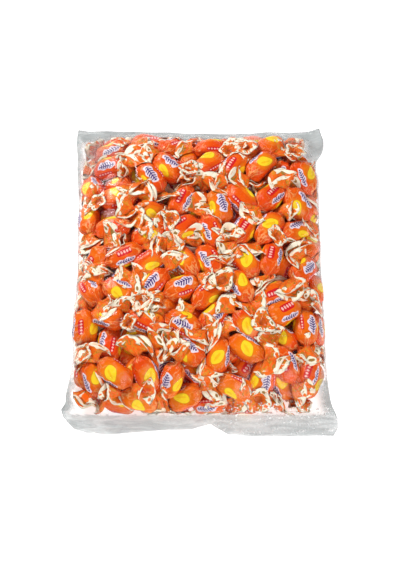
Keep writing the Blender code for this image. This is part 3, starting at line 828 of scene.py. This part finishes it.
def taut_side(line, way, slack):
    """The film's edge beside the candies: how far they reach to one side at each line, spanned by chords.

    It starts on them, or on the slack line where the film stands off them. It is spanned by repeated means of
    its neighbours, but never drawn in past either.
    """
    reach = np.zeros(len(line))
    np.maximum.at(reach, cloud_line, cloud[:, 0] * way)
    for _ in range(4):
        reach = np.maximum(reach, np.maximum(np.roll(reach, 1), np.roll(reach, -1)))
    slack_y, slack_x = np.array(slack).T
    reach = np.maximum(reach, np.interp(line, slack_y, slack_x) * way)
    edge = reach + FILM_GAP
    for _ in range(SIDE_SPAN_STEPS):
        edge[1:-1] = np.maximum(reach[1:-1] + FILM_GAP, (edge[:-2] + edge[2:]) / 2)
    return edge * way


def grid_points():
    """x and y of the film's grid and each place's distance from the side.

    Each line runs straight from its left to its right edge. The edge follows the candies beside them, and
    blends into SEAL_EDGE at the header and the foot. The lines near the foot and the header are pulled in,
    less and less away from the end.
    """
    line = np.linspace(FOOT_END, HEADER_END, FILM_GRID[1])
    seal_y, seal_left, seal_right = np.array(SEAL_EDGE).T
    past_fill = np.abs(line - FILL_MIDDLE) - FILL_HALF_LENGTH
    sealed = smooth((past_fill + np.where(line > 0, HEADER_BLEND, FOOT_BLEND)) / BLEND_LENGTH)
    left = taut_side(line, -1, SLACK_LEFT) * (1 - sealed) + np.interp(line, seal_y, seal_left) * sealed
    right = taut_side(line, 1, SLACK_RIGHT) * (1 - sealed) + np.interp(line, seal_y, seal_right) * sealed
    line = line[:, None]
    share = np.linspace(0, 1, FILM_GRID[0])
    x = left[:, None] * (1 - share) + right[:, None] * share
    fold_x, fold = np.array(FOOT_FOLD).T
    towards_foot = np.clip((line - FOOT_END) / FOOT_FOLD_DEPTH, 0, 1)
    dip_x, dip = np.array(HEADER_DIP).T
    towards_header = smooth((line - FILL_HEADER_END) / (HEADER_END - FILL_HEADER_END))
    y = line + np.interp(x, fold_x, fold) * (1 - towards_foot) - np.interp(x, dip_x, dip) * towards_header
    return x, y, np.minimum(x - left[:, None], right[:, None] - x)


# inside is the distance from the filled part's rounded outline. Where it is 0 or less, the sheets are sealed
# together at the seam's height, which ripples, curls up at the header's corners, and has fine ribs and two
# creases at the foot.
film_x, film_y, from_side = grid_points()
from_end = FILL_HALF_LENGTH + END_SLACK - np.abs(film_y - FILL_MIDDLE)
short = [np.clip(1 - gap / CORNER_ROUND, 0, None) ** CORNER_POWER for gap in (from_side, from_end)]
inside = CORNER_ROUND * (1 - (short[0] + short[1]) ** (1 / CORNER_POWER))
past_end = np.maximum(SEAM_START - from_end, 0)
seam = SEAM_LOW + (SEAM_HEIGHT - SEAM_LOW) * (1 - smooth(past_end / SEAM_FALL))
ripple = RIPPLE * np.sin(film_x * 95 + film_y * 40) * np.cos(film_x * 37)
ripple = ripple + SMALL_RIPPLE * np.sin(film_x * 210 + 1)
seam = seam + smooth(past_end / 0.018) * (ripple + RIPPLE_LIFT)
right_curl = smooth((film_x - 0.097) / 0.014) * smooth((film_y - 0.104) / 0.016)
left_curl = smooth((-film_x - 0.097) / 0.012) * smooth((film_y - 0.112) / 0.02)
seam = seam + RIGHT_CURL * right_curl + LEFT_CURL * left_curl
foot = smooth((-film_y - 0.120) / 0.005)
ribs = np.sin(film_y * 1500 + 3 * np.sin(film_x * 30) + film_x * 25)
ribs = ribs * (0.6 + 0.4 * np.sin(film_x * 70 + 1))
seam = seam + foot * FOOT_RIB * (1 + ribs)
off_crease = (film_x - 0.020) + (film_y + 0.130) * 1.1
seam = seam + foot * FOOT_CREASE * np.exp(-((off_crease / 0.0030) ** 2))
off_corner = (film_y + 0.1295) + (film_x + 0.098) * 0.48
at_corner = foot * smooth((-film_x - 0.075) / 0.01)
seam = seam + at_corner * CORNER_CREASE * np.exp(-((off_corner / 0.0012) ** 2))


def widened(height):
    """The greatest height within one line and one column of each place."""
    for shift_by, line_or_column in ((1, 0), (-1, 0), (1, 1), (-1, 1)):
        height = np.maximum(height, np.roll(height, shift_by, axis=line_or_column))
    return height


# The obstacle is the height of the candies under each place of the grid and beside it.
obstacle = np.zeros(film_x.shape)
left_edge, right_edge = film_x[cloud_line, 0], film_x[cloud_line, -1]
cloud_column = np.round((cloud[:, 0] - left_edge) / (right_edge - left_edge) * (FILM_GRID[0] - 1))
cloud_column = np.clip(cloud_column, 0, FILM_GRID[0] - 1).astype(int)
np.maximum.at(obstacle, (cloud_line, cloud_column), cloud[:, 2] + FILM_GAP)
obstacle = widened(obstacle)

# The top sheet starts as a tent over the obstacles. It is drawn tight by repeated means of its four
# neighbours, never below the obstacles, and puckers beside the seals of the ends.
fixed = inside <= 0
obstacle = np.where(fixed, 0, obstacle)
tented = obstacle
for _ in range(TENT_REACH):
    tented = widened(tented)
tented = np.minimum(roof(film_x, film_y) + TENT_ROOM, np.maximum(tented, seam + 0.001))
top = np.where(fixed, seam + SEALED_APART, tented)
for _ in range(SHRINK_STEPS):
    mean = top.copy()
    mean[1:-1, 1:-1] = (top[:-2, 1:-1] + top[2:, 1:-1] + top[1:-1, :-2] + top[1:-1, 2:]) / 4
    top = np.where(fixed, top, np.maximum(mean, obstacle))
pucker = np.exp(-((inside - 0.004) / 0.007) ** 2) * smooth(past_end / 0.006) * (inside > 0)
top = top + pucker * PUCKER * np.abs(np.sin(film_x * 190 + 2 * np.sin(film_x * 61)))

# The bottom sheet goes down from the seam by a quarter circle to the table.
depth = np.clip(inside / SEAM_HEIGHT, 0, 1)
bottom = seam + (UNDERSIDE - seam) * np.sqrt(1 - (1 - depth) ** 2)
bottom = np.minimum(bottom, top - SHEETS_APART)


def film_mesh():
    """Two sheets on one grid, joined at the outline. Its haze attribute says where the film looks grey.

    It is grey where the sheets lie together, where film stands loose beside the candies, and in the header's
    right corner. The top sheet also has a weak round patch of it near the header's left corner, which is a
    painted reflection on the film there. The haze is the greatest of these, each a smooth step or a bell
    curve times its own weight.
    """
    rim = np.zeros(film_x.shape, bool)
    rim[[0, -1]] = rim[:, [0, -1]] = True
    top_index = np.arange(film_x.size).reshape(film_x.shape)
    free = np.cumsum(~rim).reshape(film_x.shape) - 1 + film_x.size
    bottom_index = np.where(rim, top_index, free)
    points = np.concatenate([
        np.stack([film_x, film_y, top], -1).reshape(-1, 3),
        np.stack([film_x, film_y, bottom], -1)[~rim]])
    faces = []
    for index, turn in ((top_index, 1), (bottom_index, -1)):
        quad = np.stack([index[:-1, :-1], index[:-1, 1:], index[1:, 1:], index[1:, :-1]], -1).reshape(-1, 4)
        faces += quad[:, ::turn].tolist()
    mesh = bpy.data.meshes.new("bag_film")
    mesh.from_pydata(points, [], faces)
    together = smooth(1 - (top - bottom) / 0.003) * np.where(film_y > 0, HEADER_HAZE, FOOT_HAZE)
    corner = smooth((film_x - 0.090) / 0.008) * smooth((film_y - 0.096) / 0.012)
    loose = smooth((top - obstacle - 0.003) / 0.006) * smooth(1 - from_side / 0.011)
    # Painted reflection: a weak round patch of haze near the header's left corner stands for the film's
    # reflection there.
    reflection_veil = np.exp(-(((film_x + 0.093) / 0.016) ** 2 + ((film_y - 0.105) / 0.022) ** 2))
    lower = np.maximum(np.maximum(together, LOOSE_HAZE * loose), CORNER_HAZE * corner)
    upper = np.maximum(lower, PAINTED_REFLECTION_HAZE * reflection_veil)
    values = np.concatenate([upper.ravel(), (lower * (inside < 0.012))[~rim]])
    mesh.attributes.new("haze", "FLOAT", "POINT").data.foreach_set("value", values)
    mesh.shade_smooth()
    return in_scene("bag_film", mesh)


FRONT_SHEEN = 0.012
EDGE_SHEEN = 0.35
FILM_TINT = (0.99, 0.99, 0.99, 1)
HAZE_GREY = (0.42, 0.45, 0.45, 1)


def clear_film():
    """Clear film: what is behind it under a thin sheen, more of it edge-on, and a grey haze in the seals.

    The sheen's share is FRONT_SHEEN plus EDGE_SHEEN times the fifth power of how far the film is edge-on. Its
    crinkles are noise, streaks and the ridges between random cells. Small white glints on the right half of
    the foot, where fine noise is high, are painted highlights in the haze's colour.
    """
    n = Nodes("clear_film")
    n.tree.nodes.remove(n.shader)
    spot = n.add("ShaderNodeTexCoord").outputs["Object"]
    bent = n.add("ShaderNodeTexNoise", {"Vector": spot, "Scale": 12.0, "Detail": 2.0}).outputs["Color"]
    bent = n.add("ShaderNodeVectorMath", {0: bent, 1: (0.03, 0.03, 0.03)}, operation="MULTIPLY").outputs[0]
    bent = n.add("ShaderNodeVectorMath", {0: bent, 1: spot}, operation="ADD").outputs[0]
    cells = n.add("ShaderNodeTexVoronoi", {"Vector": bent, "Scale": 24.0}, feature="DISTANCE_TO_EDGE")
    ridge = n.between(cells.outputs["Distance"], 0.045, 0.0)
    streak = n.add("ShaderNodeTexNoise", {
        "Vector": n.add("ShaderNodeMapping", {0: spot, 3: (1.0, 6.0, 1.0)}).outputs[0],
        "Scale": 30.0, "Detail": 4.0, "Distortion": 1.2}).outputs[0]
    wrinkle = n.math("ADD", n.noise(spot, 40.0, 3.0), n.math("MULTIPLY", ridge, 0.30))
    height = n.math("ADD", wrinkle, n.math("MULTIPLY", streak, 0.4))
    bump = n.add("ShaderNodeBump", {"Strength": 0.4, "Distance": 0.004, "Height": height}).outputs[0]
    edge_on = n.add("ShaderNodeLayerWeight", {"Blend": 0.5, "Normal": bump}).outputs["Facing"]
    mirror = n.math("MULTIPLY", n.math("POWER", edge_on, 5.0), EDGE_SHEEN)
    mirror = n.math("ADD", FRONT_SHEEN, mirror)
    clear = n.add("ShaderNodeBsdfTransparent", {"Color": FILM_TINT}).outputs[0]
    sheen = n.add("ShaderNodeBsdfGlossy", {"Color": (1, 1, 1, 1), "Roughness": 0.12, "Normal": bump})
    sheen = sheen.outputs[0]
    place = n.add("ShaderNodeSeparateXYZ", {0: spot}).outputs
    # Painted highlights: small white glints in the haze's colour on the right half of the foot.
    painted_glint = n.between(n.noise(spot, 420.0, 1.0), 0.62, 0.68)
    painted_glint = n.math("MULTIPLY", painted_glint, n.between(place[1], -0.114, -0.120))
    painted_glint = n.math("MULTIPLY", painted_glint, n.between(place[0], -0.01, 0.02))
    haze_and_glint_colour = n.mix(painted_glint, HAZE_GREY, (1, 1, 1, 1))
    grey = n.add("ShaderNodeBsdfDiffuse", {"Color": haze_and_glint_colour}).outputs[0]
    amount = n.add("ShaderNodeAttribute", attribute_name="haze").outputs["Fac"]
    uneven = n.add("ShaderNodeMapRange", {0: streak, 1: 0.3, 2: 0.7, 3: 0.30, 4: 0.60}).outputs[0]
    amount = n.math("MAXIMUM", n.math("MULTIPLY", amount, uneven), painted_glint)
    hazy = n.add("ShaderNodeMixShader", {0: amount, 1: clear, 2: grey}).outputs[0]
    film = n.add("ShaderNodeMixShader", {0: mirror, 1: hazy, 2: sheen}).outputs[0]
    n.link(film, n.output.inputs["Surface"])
    return n.material


film = film_mesh()
film.data.materials.append(clear_film())
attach(film, "root")
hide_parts("candy_bag")

# ---- The table, the light and the camera -----------------------------------------------------------------
# A plain white table under soft studio light. The camera looks down on the bag from its foot.
# The lights hold their place, the side of their square and their power.

TABLE_HALF = 1.0
TABLE_WHITE = (0.93, 0.93, 0.93, 1)
TABLE_GLOW = 0.50
KEY_LIGHT = ((-0.70, 0.85, 0.85), 0.40, 17.5)
FILL_LIGHT = ((0.5, -0.8, 0.8), 0.8, 11.0)
SKY_LIGHT = 0.20
CAMERA_AIM = (0.0005, -0.0085, 0)
CAMERA_DISTANCE = 0.813
CAMERA_ELEVATION = math.radians(70)
CAMERA_LENS = 60
CAMERA_FRAME = 36


def pale_table():
    """A flat square under the bag, at the height of its underside."""
    mesh = bpy.data.meshes.new("table")
    corners = [(x * TABLE_HALF, y * TABLE_HALF, 0) for x, y in ((-1, -1), (1, -1), (1, 1), (-1, 1))]
    mesh.from_pydata(corners, [], [(0, 1, 2, 3)])
    n = Nodes("white_table")
    n.shader.inputs["Base Color"].default_value = TABLE_WHITE
    n.shader.inputs["Roughness"].default_value = 0.8
    n.shader.inputs["Emission Color"].default_value = (1, 1, 1, 1)
    n.shader.inputs["Emission Strength"].default_value = TABLE_GLOW
    mesh.materials.append(n.material)
    in_scene("table", mesh)


def soft_light(name, place, size, power):
    """A square area light at a place, aimed at the bag."""
    light = bpy.data.lights.new(name, "AREA")
    light.size = size
    light.energy = power
    made = in_scene(name, light)
    made.location = place
    made.rotation_euler = (-Vector(place)).to_track_quat("-Z", "Y").to_euler()


def photo_camera():
    """A lens of CAMERA_LENS mm at CAMERA_DISTANCE from its aim, towards the foot and CAMERA_ELEVATION up."""
    camera = bpy.data.cameras.new("camera")
    camera.lens = CAMERA_LENS
    camera.sensor_width = CAMERA_FRAME
    made = in_scene("camera", camera)
    away = Vector((0, -math.cos(CAMERA_ELEVATION), math.sin(CAMERA_ELEVATION)))
    made.location = Vector(CAMERA_AIM) + away * CAMERA_DISTANCE
    made.rotation_euler = (math.pi / 2 - CAMERA_ELEVATION, 0, 0)
    bpy.context.scene.camera = made


pale_table()
soft_light("key", *KEY_LIGHT)
soft_light("fill", *FILL_LIGHT)
photo_camera()
world = bpy.data.worlds.new("studio")
world.use_nodes = True
world.node_tree.nodes["Background"].inputs["Color"].default_value = (1, 1, 1, 1)
world.node_tree.nodes["Background"].inputs["Strength"].default_value = SKY_LIGHT
bpy.context.scene.world = world
bpy.context.scene.view_settings.view_transform = "Standard"
